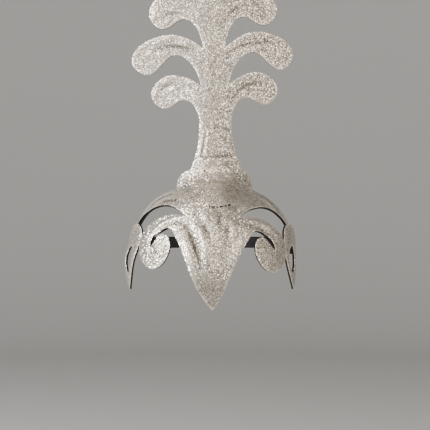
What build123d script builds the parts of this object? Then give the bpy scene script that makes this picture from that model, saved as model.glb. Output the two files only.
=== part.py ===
"""Carnival headdress of moulded glitter sheet, in millimetres.

The front of the headdress faces -Y and +Z is up. The origin is the seat on top of the head, at the middle
of the underside of the crown. Every piece is a thin sheet that was cut to an outline and bent over a form,
so each one is made the same way: a curved wall is lofted through a few sections, and the outline is cut
through it.
"""

import os
from math import asin, atan2, cos, degrees, hypot, radians, sin, sqrt

from build123d import *

os.makedirs("parts", exist_ok=True)

# Sheet
sheet = 2.5  # thickness of the glitter-faced sheet
clearance = 0.3  # gap between pieces that lie against each other
margin = 20.0  # how far a cutting outline runs past the sheet that it cuts
snip = 0.8  # width of the blade's mark at the bottom of a sharp notch

# Crown: one sheet bent over the front and top of the head
head_half_width = 80.0  # outside of the crown at the temples
brow_depth = 100.0  # ear line forward to the outside of the brow
crown_height = 100.0  # ear line up to the outside of the crown
straight_leg = 36.0  # height of the straight side above the ear line
shoulder_turn = 60.0  # degrees turned by the tighter arc at each side of the crown
rib_start = 4.0  # the side walls stop this far from the ear line
ear_line = sheet - crown_height  # height of the ear line, with the seat at zero

# Brow peak, scroll arms and windows of the crown
window_corner = -31.0  # height of the sharp inner corner of each window
arm_inset = 4.7  # the scrolls stay this far inside the crown's outline at the foot of the windows
arm_fall = 52.4  # window corner down to the bottom of the scroll
arm_tilt = 2.2  # the right arm sits this much lower and the left arm this much higher at the scroll
peak_fall = 90.0  # window corner down to the tip of the peak
peak_tip_radius = 2.0
tail_front = -12.0  # front edge of the band's tail, beside the temple
tail_end = -70.0  # lowest point of the band's tail
tail_radius = 5.0

# Crest foot: the saddle that carries the crest
foot_radius = 57.0  # bow of the neck, seen from above
foot_bend = 24.0  # radius where the saddle turns up into the neck
bend_top = 22.0  # the neck is upright above this height
foot_strip = 45.0
seam_half_width = 21.0  # where the neck meets the crest
seam_height = 25.5
neck_foot = (24.6, 14.4)  # corner between the neck and the shoulder
shoulder_middle = (33.8, 8.2)
shoulder_end = (37.6, -0.5)
toe_side = (31.5, -12.5)
toe_corner = (19.0, -19.5)
toe_front = -23.3

# Crest: the stem with three tiers of curled fronds
crest_offset = 3.3  # the seam stands this far to the right of the middle
foot_offset = 2.1  # and the shoulders of the foot this far
crest_lean = 0.016  # the crest leans back to the middle by this share of its height
crest_front = -35.3  # front of the stem behind the foot
crest_strip = 95.0
channel_half_width = 20.0  # round middle of the crest, seen from above
tail_half_width = 14.0  # hidden tail behind the foot
neck_half_width = 15.9
neck_height = 60.0
frond_reach = 80.0  # farthest point of the longest frond
tier_pitch = 36.6  # one notch to the next
frond_lift = 3.2  # the right fronds are raised and the left lowered by this at full reach
bud_height = 26.0  # top notch to the top of the bud

# Side wings: the pointed leaves beside the temples
wing_height = 66.0
wing_depth = 52.0
wing_tip = -105.0
wing_back = 3.0  # back edge of the wing
wing_bow = 80.0  # radius of the wing, seen from above
wing_apex = -6.0  # widest place of the wing, front to back
wing_rest = 0.6  # extra gap between the wing and the crown
wing_flare = {"left": 4.5, "right": 0.0}  # how far the middle of a wing stands out

# Nape strap: elastic round the back of the head
strap_width = 12.0
strap_sheet = 1.5
strap_height = -60.0  # middle of the strap
strap_depth = 92.0  # ear line back to the outside of the strap
strap_front = -8.0
strap_leg = 12.0
strap_turn = 50.0

SIDES = {"left": -1, "right": 1}


def tilted_plane(y, z, tilt):
    """Plane across the head whose own Y points forwards, raised by the tilt in degrees."""
    turn = radians(tilt)
    return Plane(origin=(0, y, z), x_dir=(1, 0, 0), z_dir=(0, -sin(turn), -cos(turn)))


def arch_points(half_width, rise, inset, leg, turn):
    """Joints and mid points of a three-centred arch on straight legs, moved inwards by the inset."""
    c, s = cos(radians(turn)), sin(radians(turn))
    height = rise - leg
    side_radius = (height - half_width * (1 - s) / c) / (s - (1 - s) * (1 - c) / c)
    top_radius = (half_width - side_radius * (1 - c)) / c
    side_x = half_width - side_radius
    half = radians(turn / 2)
    r_side, r_top = side_radius - inset, top_radius - inset
    return {
        "leg": (half_width - inset, leg),
        "side": (side_x + r_side * cos(half), leg + r_side * sin(half)),
        "joint": (r_top * c, rise - top_radius + r_top * s),
        "top": (0, rise - inset),
    }


def flip(point):
    return (-point[0], point[1])


def arch_sketch(half_width, rise, wall, leg, turn, start):
    """Band between two arches."""
    outer = arch_points(half_width, rise, 0, leg, turn)
    inner = arch_points(half_width, rise, wall, leg, turn)
    feet = [(half_width, start), (half_width - wall, start)]
    with BuildSketch() as band:
        with BuildLine():
            for arch, foot in ((outer, feet[0]), (inner, feet[1])):
                Line(foot, arch["leg"])
                ThreePointArc(arch["leg"], arch["side"], arch["joint"])
                ThreePointArc(arch["joint"], arch["top"], flip(arch["joint"]))
                ThreePointArc(flip(arch["joint"]), flip(arch["side"]), flip(arch["leg"]))
                Line(flip(arch["leg"]), flip(foot))
            Line(*feet)
            Line(flip(feet[0]), flip(feet[1]))
        make_face()
    return band.sketch


def channel_sketch(half_width, channel, radius, wall):
    """Strip that is round in the middle, with straight sides."""
    turn = asin(channel / radius)
    run = (half_width - channel) / cos(turn)
    rows = []
    for inset in (0, wall):
        bend = ((radius - inset) * sin(turn), (radius - inset) * cos(turn) - radius)
        end = (bend[0] + run * cos(turn), bend[1] - run * sin(turn))
        rows.append({"mid": (0, -inset), "bend": bend, "end": end})
    with BuildSketch() as strip:
        with BuildLine():
            for row in rows:
                ThreePointArc(row["bend"], row["mid"], flip(row["bend"]))
                Line(row["bend"], row["end"])
                Line(flip(row["bend"]), flip(row["end"]))
            Line(rows[0]["end"], rows[1]["end"])
            Line(flip(rows[0]["end"]), flip(rows[1]["end"]))
        make_face()
    return strip.sketch


# Ribs of the crown, from the brow to behind the top of the head. Tilt is in degrees above forwards.
# Fullness is the share of the plain oval through the brow depth and the crown height.
crown_ribs = [
    {"tilt": -18, "fullness": 1.012},
    {"tilt": 6, "fullness": 1.008},
    {"tilt": 30, "fullness": 1.066},
    {"tilt": 54, "fullness": 1.076},
    {"tilt": 78, "fullness": 1.016},
    {"tilt": 106, "fullness": 0.985},
]


def rib_reach(rib):
    turn = radians(rib["tilt"])
    return rib["fullness"] / hypot(cos(turn) / brow_depth, sin(turn) / crown_height)


# Outline of one scroll arm and of the window above it. Across is a share of the arm's reach from the
# middle, and down is a share of the arm's fall from the window corner.
window_edge = [
    {"across": 1.030, "down": 0.165},
    {"across": 0.985, "down": 0.060},
    {"across": 0.900, "down": -0.055},
    {"across": 0.800, "down": -0.143},
    {"across": 0.670, "down": -0.178},
    {"across": 0.560, "down": -0.150},
    {"across": 0.470, "down": -0.095},
    {"across": 0.380, "down": 0.000},
]
scroll_edge = [
    {"across": 0.380, "down": 0.000},
    {"across": 0.580, "down": 0.020},
    {"across": 0.700, "down": 0.070},
    {"across": 0.810, "down": 0.155},
    {"across": 0.905, "down": 0.280},
    {"across": 0.980, "down": 0.450},
    {"across": 1.000, "down": 0.620},
    {"across": 0.975, "down": 0.820},
    {"across": 0.900, "down": 0.960},
    {"across": 0.810, "down": 1.005},
    {"across": 0.710, "down": 0.955},
    {"across": 0.630, "down": 0.830},
    {"across": 0.578, "down": 0.660},
    {"across": 0.572, "down": 0.520},
    {"across": 0.603, "down": 0.415},
    {"across": 0.666, "down": 0.374},
    {"across": 0.746, "down": 0.447},
    {"across": 0.835, "down": 0.617},
]
arm_underside = [
    {"across": 0.840, "down": 0.550},
    {"across": 0.786, "down": 0.400},
    {"across": 0.700, "down": 0.315},
    {"across": 0.620, "down": 0.262},
    {"across": 0.546, "down": 0.278},
]


# Edges of the peak between the arms and the tip. Down is a share of the way, and the other columns are how
# far each edge bows outwards, as a share of the peak's fall.
peak_edge = [
    {"down": 0.25, "left": 0.002, "right": -0.019},
    {"down": 0.60, "left": 0.036, "right": -0.009},
    {"down": 0.85, "left": 0.031, "right": 0.007},
]


def crown_half_width(z):
    """Half width of the crown's outside at a height, at its widest place from front to back."""
    height = z - ear_line
    if height <= straight_leg:
        return head_half_width
    c, s = cos(radians(shoulder_turn)), sin(radians(shoulder_turn))
    rise = crown_height - straight_leg
    radius = (rise - head_half_width * (1 - s) / c) / (s - (1 - s) * (1 - c) / c)
    return head_half_width - radius + sqrt(radius**2 - (height - straight_leg) ** 2)


# The farthest point of a scroll from the middle follows the crown's width beside the foot of the window.
arm_reach = crown_half_width(window_corner - window_edge[0]["down"] * arm_fall) - arm_inset


def arm_point(row, side):
    """Place in the front view of a row of the tables above."""
    x = row["across"] * arm_reach
    z = window_corner - row["down"] * arm_fall - SIDES[side] * arm_tilt * row["across"]
    return (SIDES[side] * x, z)


def arm_points(rows, side):
    return [arm_point(row, side) for row in rows]


def peak_points(start, side):
    """Edge of the peak from the arm to the start of the rounded tip."""
    tip = (SIDES[side] * peak_tip_radius, window_corner - peak_fall + peak_tip_radius)
    points = [start]
    for row in peak_edge:
        x = start[0] + (tip[0] - start[0]) * row["down"] + SIDES[side] * row[side] * peak_fall
        points.append((x, start[1] + (tip[1] - start[1]) * row["down"]))
    return points + [tip]


# Crown: a cap of sheet, with the front view cut through it
with BuildPart() as crown_form:
    for rib in crown_ribs:
        with BuildSketch(tilted_plane(0, ear_line, rib["tilt"])):
            add(arch_sketch(head_half_width, rib_reach(rib), sheet, straight_leg, shoulder_turn, rib_start))
    loft()

with BuildPart() as crown_envelope:
    for rib in crown_ribs:
        with BuildSketch(tilted_plane(0, ear_line, rib["tilt"])):
            grown = rib_reach(rib) + clearance
            depth = sheet + margin
            add(arch_sketch(head_half_width + clearance, grown, depth, straight_leg, shoulder_turn, rib_start))
    loft()

with BuildPart() as crown_plate:
    with BuildSketch(Plane.XZ.offset(-2 * margin)):
        with BuildLine():
            for side, sign in SIDES.items():
                edge = arm_points(window_edge, side)
                scroll = [(x, z - snip) if x == edge[-1][0] else (x, z) for x, z in arm_points(scroll_edge, side)]
                under = arm_points(arm_underside, side)
                outer_x = sign * (head_half_width + margin)
                Line((0, margin), (outer_x, margin))
                Line((outer_x, margin), (outer_x, edge[0][1]))
                Line((outer_x, edge[0][1]), edge[0])
                Spline(*edge)
                Line(edge[-1], scroll[0])
                Spline(*scroll)
                Line(scroll[-1], under[0])
                Spline(*under)
                Spline(*peak_points(under[-1], side))
            tips = [peak_points((0, 0), side)[-1] for side in SIDES]
            ThreePointArc(tips[0], (0, window_corner - peak_fall), tips[1])
        make_face()
    extrude(amount=brow_depth + 3 * margin)
    with BuildSketch(Plane.YZ) as tail_view:
        with Locations((tail_front, tail_end)):
            Rectangle(2 * margin, window_corner - tail_end, align=(Align.MIN, Align.MIN))
        fillet(tail_view.vertices().group_by(Axis.Y)[0].sort_by(Axis.X)[0], tail_radius)
    extrude(amount=head_half_width + margin, both=True)
    add(crown_form.part, mode=Mode.INTERSECT)


# Rows of the crest's foot from the toe up. The first rows lie on the crown at a tilt in degrees, and lift
# is how far their outer face stands off it, as a share of the sheet. Bow is a share of the foot's radius.
toe_rows = [
    {"tilt": 41, "lift": 0.45, "bow": 1.38},
    {"tilt": 50, "lift": 0.95, "bow": 1.34},
    {"tilt": 58, "lift": 1.50, "bow": 1.22},
]
# The next rows turn up into the neck. Slope is in degrees from level.
bend_rows = [
    {"slope": 40, "bow": 1.08},
    {"slope": 65, "bow": 1.02},
    {"slope": 90, "bow": 1.00},
]


def beside(point, side, offset):
    """Place in the front view, on one side of an axis that stands off the middle."""
    return (offset + SIDES[side] * point[0], point[1])


# Crest foot
foot_front = crest_front - clearance - sheet
with BuildPart() as crest_foot:
    for row in toe_rows:
        turn = radians(row["tilt"])
        ray = Axis((0, 0, ear_line), (0, -cos(turn), sin(turn)))
        hits = crown_form.part.find_intersection_points(ray)
        point, normal = max(hits, key=lambda hit: (hit[0] - ray.position).length)
        place = point + normal * row["lift"] * sheet
        with BuildSketch(tilted_plane(place.Y, place.Z, degrees(atan2(normal.Z, -normal.Y)))):
            wall = (row["lift"] + 0.6) * sheet
            add(channel_sketch(foot_strip, foot_strip - sheet, foot_radius * row["bow"], wall))
    for row in bend_rows:
        turn = radians(row["slope"])
        place = (foot_front - foot_bend * (1 - sin(turn)), bend_top - foot_bend * cos(turn))
        with BuildSketch(tilted_plane(*place, 90 - row["slope"])):
            add(channel_sketch(foot_strip, foot_strip - sheet, foot_radius * row["bow"], sheet))
    with BuildSketch(tilted_plane(foot_front, bend_top + margin, 0)):
        add(channel_sketch(foot_strip, foot_strip - sheet, foot_radius, sheet))
    loft()
    with BuildSketch(Plane.XZ.offset(-margin)):
        with BuildLine():
            for side, sign in SIDES.items():
                neck = [beside(point, side, crest_offset) for point in ((seam_half_width, seam_height), neck_foot)]
                toe = [beside(point, side, foot_offset) for point in (shoulder_end, toe_side, toe_corner, (0, toe_front))]
                Line((crest_offset, seam_height), neck[0])
                Line(*neck)
                ThreePointArc(neck[1], beside(shoulder_middle, side, foot_offset), toe[0])
                Spline(*toe, tangents=[(0, -1), (-sign, 0)])
        make_face()
    extrude(amount=brow_depth + 2 * margin, mode=Mode.INTERSECT)
    add(crown_envelope.part, mode=Mode.SUBTRACT)

# Fronds of the crest, from the lowest tier up. Out is a share of the longest frond's reach from the
# middle, and up is a share of the tier pitch from the notch below the tier.
frond_tiers = [
    {
        "hollow": {"out": 0.380, "up": 0.640},
        "belly": {"out": 0.622, "up": 0.445},
        "tip": {"out": 0.783, "up": 0.820},
        "crown": {"out": 0.522, "up": 1.322},
        "notch": {"out": 0.172, "up": 1.000},
    },
    {
        "hollow": {"out": 0.477, "up": 0.861},
        "belly": {"out": 0.820, "up": 0.363},
        "tip": {"out": 1.000, "up": 0.740},
        "crown": {"out": 0.535, "up": 1.418},
        "notch": {"out": 0.132, "up": 1.000},
    },
    {
        "hollow": {"out": 0.367, "up": 0.820},
        "belly": {"out": 0.620, "up": 0.585},
        "tip": {"out": 0.793, "up": 1.005},
        "crown": {"out": 0.445, "up": 1.640},
        "notch": {"out": 0.093, "up": 1.370},
    },
]
# Directions of a frond's edge at those points, going out from the notch below.
frond_turns = {"hollow": (1, 0), "belly": (1, 0), "tip": (0, 1), "crown": (-1, 0), "notch": (-0.78, -0.62)}
notch_turn = (0.2, 1)

# Bands across the crest from its tail up. Up is a share of three tier pitches above the neck, back is a
# share of the sheet and bow is a share of the foot's inside radius.
crest_rows = [
    {"up": -0.55, "back": 0.0, "bow": 1.0},
    {"up": 0.05, "back": 0.0, "bow": 1.1},
    {"up": 0.45, "back": 0.5, "bow": 2.2},
    {"up": 1.42, "back": 3.0, "bow": 3.0},
]


def on_crest(out, up, side):
    """Place in the front view, out from the leaning axis of the crest."""
    axis = crest_offset - crest_lean * (up - seam_height) if up > neck_foot[1] else crest_offset
    lift = SIDES[side] * frond_lift * out / frond_reach if up > neck_height else 0
    return (axis + SIDES[side] * out, up + lift)


def turned(direction, side):
    return (SIDES[side] * direction[0], direction[1])


# Crest
with BuildPart() as crest:
    for row in crest_rows:
        height = neck_height + 3 * tier_pitch * row["up"]
        with BuildSketch(tilted_plane(crest_front + row["back"] * sheet, height, 0)):
            bow = (foot_radius - sheet - clearance) * row["bow"]
            add(channel_sketch(crest_strip, channel_half_width, bow, sheet))
    loft()
    with BuildSketch(Plane.XZ.offset(-margin)):
        with BuildLine():
            for side in SIDES:
                tail = (tail_half_width, neck_foot[1])
                seam = on_crest(seam_half_width, seam_height, side)
                neck = on_crest(neck_half_width, neck_height, side)
                Line((crest_offset, -margin), beside((tail_half_width, -margin), side, crest_offset))
                Line(beside((tail_half_width, -margin), side, crest_offset), beside(tail, side, crest_offset))
                Line(beside(tail, side, crest_offset), seam)
                Spline(seam, neck, tangents=[turned((-0.35, 1), side), (0, 1)])
                start, direction = neck, (0, 1)
                base = neck_height
                for tier in frond_tiers:
                    points, turns = [start], [direction]
                    for key, mark in tier.items():
                        points.append(on_crest(mark["out"] * frond_reach, base + mark["up"] * tier_pitch, side))
                        turns.append(turned(frond_turns[key], side))
                    Spline(*points, tangents=turns)
                    start, direction = (points[-1][0], points[-1][1] + snip), turned(notch_turn, side)
                    Line(points[-1], start)
                    base += tier_pitch
                bud_base = base + (frond_tiers[-1]["notch"]["up"] - 1) * tier_pitch
                Spline(start, on_crest(0, bud_base + bud_height, side), tangents=[direction, turned((-1, 0.9), side)])
        make_face()
    extrude(amount=brow_depth + 2 * margin, mode=Mode.INTERSECT)
    add(crown_envelope.part, mode=Mode.SUBTRACT)

# Outline of a wing, seen from the side. Forward is a share of the wing's depth from its back edge, and
# up is a share of its height from its tip.
wing_front_edge = [
    {"forward": 0.726, "up": 1.000},
    {"forward": 0.900, "up": 0.962},
    {"forward": 1.000, "up": 0.848},
    {"forward": 1.000, "up": 0.690},
    {"forward": 0.980, "up": 0.550},
    {"forward": 0.920, "up": 0.394},
    {"forward": 0.810, "up": 0.240},
    {"forward": 0.640, "up": 0.106},
    {"forward": 0.365, "up": 0.000},
]
wing_back_edge = [
    {"forward": 0.335, "up": 0.000},
    {"forward": 0.122, "up": 0.242},
    {"forward": 0.000, "up": 0.485},
    {"forward": 0.075, "up": 0.697},
    {"forward": 0.347, "up": 0.905},
    {"forward": 0.702, "up": 1.000},
]
wing_slot = [
    {"forward": 0.690, "up": 0.665},
    {"forward": 0.820, "up": 0.590},
    {"forward": 0.820, "up": 0.430},
    {"forward": 0.640, "up": 0.258},
    {"forward": 0.510, "up": 0.410},
    {"forward": 0.560, "up": 0.580},
]
# Bands across a wing from below its tip up. Up is a share of its height and stand is how far it stands
# out from the crown there, as a share of the sheet. Flare is a share of the side's flare.
wing_rows = [
    {"up": -0.06, "stand": -1.0, "flare": 0.3},
    {"up": 0.20, "stand": -0.1, "flare": 0.8},
    {"up": 0.50, "stand": 0.0, "flare": 1.0},
    {"up": 0.78, "stand": 0.0, "flare": 0.0},
    {"up": 1.06, "stand": 0.9, "flare": 0.0},
]


def wing_points(rows):
    """Places in the side view of a table's rows."""
    return [(wing_back - row["forward"] * wing_depth, wing_tip + row["up"] * wing_height) for row in rows]


def bow_sketch(half_width):
    """Band of sheet bowed outwards on the right of the head, seen from above."""
    front, back = -wing_depth - margin, wing_back + margin
    with BuildSketch() as band:
        with BuildLine():
            ends = []
            for radius in (wing_bow, wing_bow - sheet):
                arc = []
                for y in (front, 0, back):
                    across = half_width - wing_bow + sqrt(radius**2 - (y * radius / wing_bow - wing_apex) ** 2)
                    arc.append((across, y * radius / wing_bow))
                ThreePointArc(*arc)
                ends.append((arc[0], arc[-1]))
            Line(ends[0][0], ends[1][0])
            Line(ends[0][1], ends[1][1])
        make_face()
    return band.sketch


# Side wings, each made on the right and the left one turned over
side_wings = {}
for side, sign in SIDES.items():
    with BuildPart() as wing:
        for row in wing_rows:
            height = wing_tip + row["up"] * wing_height
            stand = clearance + wing_rest + sheet * (1 + row["stand"])
            lean = wing_flare[side] * row["flare"]
            with BuildSketch(Plane.XY.offset(height)):
                add(bow_sketch(crown_half_width(height) + stand + lean))
        loft()
        with BuildSketch(Plane.YZ):
            with BuildLine():
                front_points, back_points = wing_points(wing_front_edge), wing_points(wing_back_edge)
                Spline(*front_points)
                Line(front_points[-1], back_points[0])
                Spline(*back_points)
                Line(back_points[-1], front_points[0])
            make_face()
            with BuildLine():
                Spline(*wing_points(wing_slot), periodic=True)
            make_face(mode=Mode.SUBTRACT)
        extrude(amount=head_half_width + margin, mode=Mode.INTERSECT)
        if side == "left":
            mirror(about=Plane.YZ, mode=Mode.REPLACE)
    side_wings[side] = wing

# Nape strap
with BuildPart() as nape_strap:
    strap_top = strap_height + strap_width / 2
    strap_half_width = crown_half_width(strap_top) - sheet - clearance - wing_rest
    with BuildSketch(Plane.XY.offset(strap_top)):
        add(arch_sketch(strap_half_width, strap_depth, strap_sheet, strap_leg, strap_turn, strap_front))
    extrude(amount=-strap_width)

pieces = {
    "crown_plate": crown_plate,
    "crest_foot": crest_foot,
    "crest": crest,
    "side_wing_left": side_wings["left"],
    "side_wing_right": side_wings["right"],
    "nape_strap": nape_strap,
}
for name, piece in pieces.items():
    piece.part.label = name
    export_step(piece.part, f"parts/{name}.step")
    print(name, len(piece.part.solids()), round(piece.part.volume))
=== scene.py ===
"""Looks of the carnival headdress: black-cored glitter sheet, cut to outlines and bent over a domed block."""

from math import asin, atan2, cos, exp, hypot, pi, radians, sin, sqrt

import bmesh
import bpy
import numpy as np
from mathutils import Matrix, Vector
from mathutils.geometry import delaunay_2d_cdt


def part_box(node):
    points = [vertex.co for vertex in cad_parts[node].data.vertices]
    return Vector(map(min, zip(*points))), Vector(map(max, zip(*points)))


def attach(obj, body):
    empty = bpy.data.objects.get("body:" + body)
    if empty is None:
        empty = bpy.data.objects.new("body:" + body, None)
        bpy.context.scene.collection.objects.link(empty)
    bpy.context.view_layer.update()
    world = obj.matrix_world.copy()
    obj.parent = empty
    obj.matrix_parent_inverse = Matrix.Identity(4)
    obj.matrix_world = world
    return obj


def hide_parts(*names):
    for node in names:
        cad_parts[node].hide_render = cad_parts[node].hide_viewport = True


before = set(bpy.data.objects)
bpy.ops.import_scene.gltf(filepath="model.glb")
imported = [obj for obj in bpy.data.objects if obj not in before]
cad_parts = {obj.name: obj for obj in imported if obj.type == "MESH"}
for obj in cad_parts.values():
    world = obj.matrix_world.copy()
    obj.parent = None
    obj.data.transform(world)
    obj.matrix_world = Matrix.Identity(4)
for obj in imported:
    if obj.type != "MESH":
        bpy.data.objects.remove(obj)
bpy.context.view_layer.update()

mm = 0.001

# Crown: one piece of black foam sheet with a glitter face, about 2.5 mm thick. It was cut flat with its peak,
# its two curled scroll arms and the windows above them, then warmed and bent over a domed block, which left
# soft folds where the flat sheet had to become round.
sheet = 2.5
head_half_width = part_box("crown_plate")[1].x / mm
brow_depth = 100.0
crown_height = 100.0
ear_line = sheet - crown_height
straight_leg = 36.0
shoulder_turn = radians(60)

# Tilt is in degrees above forwards, and fullness is a rib's reach as a share of an even dome's.
crown_ribs = [
    {"tilt": -18, "fullness": 1.012},
    {"tilt": 6, "fullness": 1.008},
    {"tilt": 30, "fullness": 1.066},
    {"tilt": 54, "fullness": 1.076},
    {"tilt": 78, "fullness": 1.016},
    {"tilt": 106, "fullness": 0.985},
]


def spline_slopes(marks, values):
    """Slopes at the marks of the smooth curve through the values, with free ends."""
    n = len(marks)
    marks = np.asarray(marks, float)
    values = np.asarray(values, float).reshape(n, -1)
    table = np.zeros((n, n))
    right = np.zeros(values.shape)
    for i in range(n):
        if i > 0:
            gap = marks[i] - marks[i - 1]
            table[i, i - 1] += 1 / gap
            table[i, i] += 2 / gap
            right[i] += 3 * (values[i] - values[i - 1]) / gap**2
        if i < n - 1:
            gap = marks[i + 1] - marks[i]
            table[i, i + 1] += 1 / gap
            table[i, i] += 2 / gap
            right[i] += 3 * (values[i + 1] - values[i]) / gap**2
    return np.linalg.solve(table, right)


def between(marks, values, slopes, t):
    """Value of the smooth curve at t, which may be one number or an array."""
    marks = np.asarray(marks, float)
    values = np.asarray(values, float).reshape(len(marks), -1)
    t = np.atleast_1d(t)
    i = np.clip(np.searchsorted(marks, t) - 1, 0, len(marks) - 2)
    gap = marks[i + 1] - marks[i]
    u = ((t - marks[i]) / gap)[:, None]
    gap = gap[:, None]
    return (
        values[i] * (1 + 2 * u) * (1 - u) ** 2
        + values[i + 1] * u * u * (3 - 2 * u)
        + slopes[i] * gap * u * (1 - u) ** 2
        - slopes[i + 1] * gap * u * u * (1 - u)
    )


def marks_along(points):
    """How far along a path of straight lines each of its points lies."""
    marks = [0.0]
    for a, b in zip(points, points[1:]):
        marks.append(marks[-1] + hypot(b[0] - a[0], b[1] - a[1]))
    return marks


def curve(points, step=1.0):
    """Points along the smooth curve through the given ones, about a step apart."""
    marks = marks_along(points)
    count = max(2, round(marks[-1] / step))
    along = np.linspace(0, marks[-1], count + 1)
    return [tuple(p) for p in between(marks, points, spline_slopes(marks, points), along)]


def straight(a, b, step=1.0):
    """Points on the line from a to b, both ends included."""
    count = max(1, round(hypot(b[0] - a[0], b[1] - a[1]) / step))
    return [(a[0] + (b[0] - a[0]) * i / count, a[1] + (b[1] - a[1]) * i / count) for i in range(count + 1)]


rib_tilts = [radians(rib["tilt"]) for rib in crown_ribs]
rib_fullness = [rib["fullness"] for rib in crown_ribs]
fullness_slopes = spline_slopes(rib_tilts, rib_fullness)


def crown_reach(tilt):
    """From the ear line to the outside of the crown, up the middle, at a tilt above forwards."""
    full = between(rib_tilts, rib_fullness, fullness_slopes, tilt)[:, 0]
    return full / np.hypot(np.cos(tilt) / brow_depth, np.sin(tilt) / crown_height)


def arch_radii(reach, half=head_half_width, leg=straight_leg, turn=shoulder_turn):
    """Radius at the side, radius at the top and centre of the side arc of the arch at a reach."""
    c, s = cos(turn), sin(turn)
    side = (reach - leg - half * (1 - s) / c) / (s - (1 - s) * (1 - c) / c)
    return side, (half - side * (1 - c)) / c, half - side


def arch_height(reach, x):
    """Height above the ear line of the arch over a place x across it."""
    side, top, centre = arch_radii(reach)
    x = np.abs(x)
    joint = top * cos(shoulder_turn)
    over_top = reach - top + np.sqrt(np.maximum(top**2 - np.minimum(x, joint) ** 2, 0))
    from_centre = np.minimum(x, head_half_width) - centre
    over_side = straight_leg + np.sqrt(np.maximum(side**2 - from_centre**2, 0))
    return np.where(x < joint, over_top, over_side)


def arch_place(reach, run, half=head_half_width, leg=straight_leg, turn=shoulder_turn):
    """Place across and height of a point on the arch, a run of sheet away from the middle."""
    side, top, centre = arch_radii(reach, half, leg, turn)
    length = np.abs(run)
    top_turn = pi / 2 - turn
    top_run = top * top_turn
    side_run = side * turn
    a = np.minimum(length, top_run) / top
    b = top_turn + np.clip(length - top_run, 0, side_run) / side
    down = np.maximum(length - top_run - side_run, 0)
    x = np.where(length < top_run, top * np.sin(a), centre + side * np.sin(b))
    h = np.where(length < top_run, reach - top + top * np.cos(a), leg + side * np.cos(b) - down)
    return np.sign(run) * x, h


def run_to(reach, x=None, height=None):
    """Run of sheet from the middle of the arch to a place across it, or to a height on its side."""
    side, top, centre = arch_radii(reach)
    top_turn = pi / 2 - shoulder_turn
    if x is not None:
        if abs(x) < top * cos(shoulder_turn):
            return top * asin(x / top)
        turn = asin(min(1.0, (abs(x) - centre) / side))
        return (top * top_turn + side * (turn - top_turn)) * (1 if x > 0 else -1)
    if height < straight_leg:
        return top * top_turn + side * shoulder_turn + straight_leg - height
    turn = asin(min(1.0, sqrt(max(0.0, 1 - ((height - straight_leg) / side) ** 2))))
    return top * top_turn + side * (turn - top_turn)


tilt_run = 95.0  # millimetres of flat pattern for each radian of tilt
lowest_tilt = radians(-25)
highest_tilt = radians(95)
halvings = 40  # rounds of the search for a place on the pattern


def on_pattern(point):
    """Flat pattern place of a point of the crown that is given in the front view."""
    x, z = point
    low, high = lowest_tilt, highest_tilt
    for _ in range(halvings):
        tilt = (low + high) / 2
        reach = crown_reach(tilt)[0]
        if float(arch_height(reach, x)) * sin(tilt) < z - ear_line:
            low = tilt
        else:
            high = tilt
    return (tilt * tilt_run, run_to(reach, x=x))


def beside_pattern(point, side):
    """Flat pattern place of a point of the crown that is given in the side view."""
    y, z = point
    tilt = atan2(z - ear_line, -y)
    return (tilt * tilt_run, side * run_to(crown_reach(tilt)[0], height=hypot(y, z - ear_line)))


# Outline of the arms, windows and peak, drawn in the front view. Across is a share of the arm's reach from
# the middle, and down is a share of the arm's fall from the window corner. The peak's rows bow outwards by a
# share of its fall.
window_corner = -31.0
arm_fall = 52.4
arm_inset = 4.7
arm_tilt = 2.2
peak_fall = 90.0
peak_tip_radius = 2.0
window_edge = [
    {"across": 1.030, "down": 0.165},
    {"across": 0.985, "down": 0.060},
    {"across": 0.900, "down": -0.055},
    {"across": 0.800, "down": -0.143},
    {"across": 0.670, "down": -0.178},
    {"across": 0.560, "down": -0.150},
    {"across": 0.470, "down": -0.095},
    {"across": 0.380, "down": 0.000},
]
scroll_edge = [
    {"across": 0.380, "down": 0.015},
    {"across": 0.580, "down": 0.020},
    {"across": 0.700, "down": 0.070},
    {"across": 0.810, "down": 0.155},
    {"across": 0.905, "down": 0.280},
    {"across": 0.980, "down": 0.450},
    {"across": 1.000, "down": 0.620},
    {"across": 0.975, "down": 0.820},
    {"across": 0.900, "down": 0.960},
    {"across": 0.810, "down": 1.005},
    {"across": 0.710, "down": 0.955},
    {"across": 0.630, "down": 0.830},
    {"across": 0.578, "down": 0.660},
    {"across": 0.572, "down": 0.520},
    {"across": 0.603, "down": 0.415},
    {"across": 0.666, "down": 0.374},
    {"across": 0.746, "down": 0.447},
    {"across": 0.835, "down": 0.617},
]
arm_underside = [
    {"across": 0.840, "down": 0.550},
    {"across": 0.786, "down": 0.400},
    {"across": 0.700, "down": 0.315},
    {"across": 0.620, "down": 0.262},
    {"across": 0.546, "down": 0.278},
]
peak_edge = [
    {"down": 0.25, "left": 0.002, "right": -0.019},
    {"down": 0.60, "left": 0.036, "right": -0.009},
    {"down": 0.85, "left": 0.031, "right": 0.007},
]
# Tail of the band, drawn in the side view: forwards is negative.
tail_front = -12.0
tail_end = -70.0
tail_radius = 5.0
tail_neck = -60.0
tail_turn = (-16.0, -47.0)
tail_steps = 6
back_tilt = rib_tilts[-1]
sides = {"right": 1, "left": -1}

# The left band is broader than the right one, so its window's edge is drawn in, across and down. It is drawn
# in most halfway between the start and the end, which are shares of the arm's reach.
band_spread = {"left": (1.8, 1.2), "right": (0.0, 0.0)}
spread_start = 0.55
spread_end = 1.05

# The arms reach almost as far out as the crown's outline does beside the foot of the windows.
window_foot = window_corner - window_edge[0]["down"] * arm_fall
side_radius, _, side_centre = arch_radii(crown_height)
arm_reach = side_centre + sqrt(side_radius**2 - (window_foot - ear_line - straight_leg) ** 2) - arm_inset


def arm_point(row, side):
    """Place in the front view of a row of the tables above."""
    sign = sides[side]
    z = window_corner - row["down"] * arm_fall - sign * arm_tilt * row["across"]
    return (sign * row["across"] * arm_reach, z)


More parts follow.
